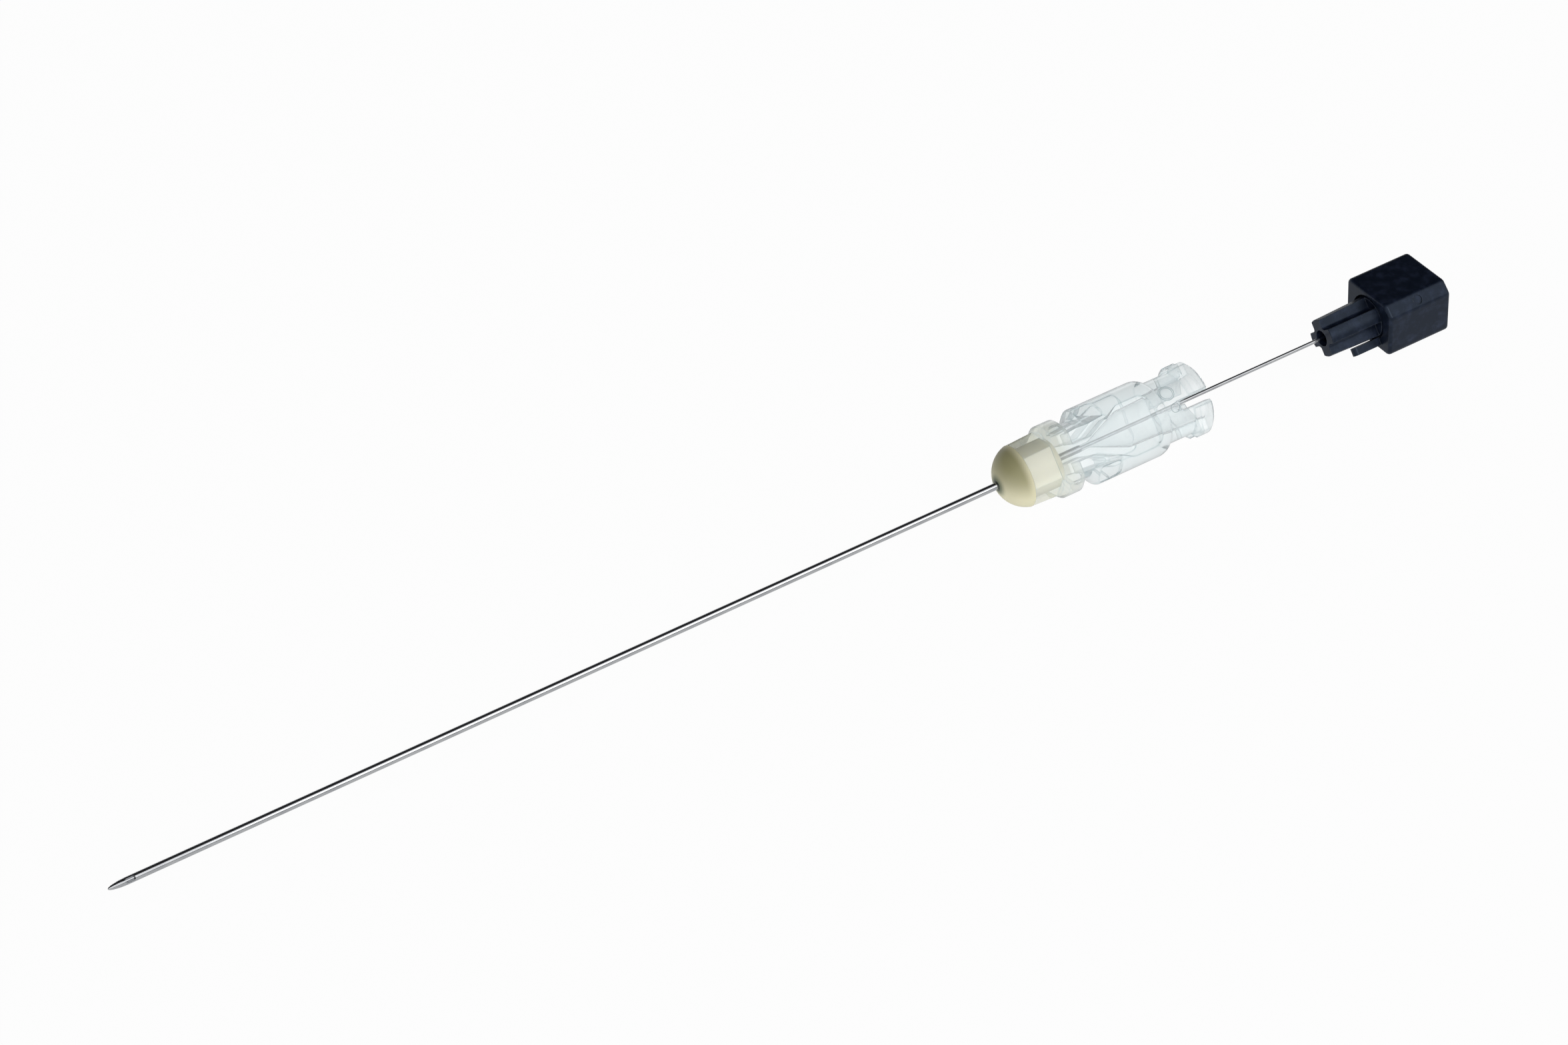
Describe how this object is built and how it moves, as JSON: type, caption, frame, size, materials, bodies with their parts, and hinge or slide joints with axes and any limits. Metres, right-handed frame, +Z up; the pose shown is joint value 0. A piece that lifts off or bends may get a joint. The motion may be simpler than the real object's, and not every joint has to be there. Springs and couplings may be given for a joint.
{
  "type": "spinal needle",
  "caption": "Spinal needle with a closed pencil point and side port, clear hub with a cream domed nose, and a black-capped stylet drawn part of the way out of it.",
  "frame": {"origin": "centre of the hub's mouth, on the needle's axis at the rear face of the flange", "axes": "+X along the needle's axis from the point towards the stylet cap, +Z up as the needle lies on its grip, the hub's window and the side port facing between -Y and +Z"},
  "size_m": [0.1411, 0.0078, 0.0078],
  "materials": {
    "steel": "polished drawn tube",
    "clear_hub": "clear moulded plastic",
    "cream_insert": "smooth moulding, slightly translucent",
    "bond_resin": "set resin",
    "wire_steel": "drawn wire",
    "black_cap": "satin moulding"
  },
  "bodies": {
    "needle": {"cannula": "steel", "hub": "clear_hub", "nose_insert": "cream_insert", "bond_bead": "bond_resin"},
    "stylet": {"stylet_wire": "wire_steel", "stylet_cap": "black_cap"}
  },
  "joints": [
    {"name": "stylet_slide", "type": "slide", "parent": "needle", "child": "stylet", "axis": [1, 0, 0], "range_m": [-0.02105, 0.0895]}
  ]
}
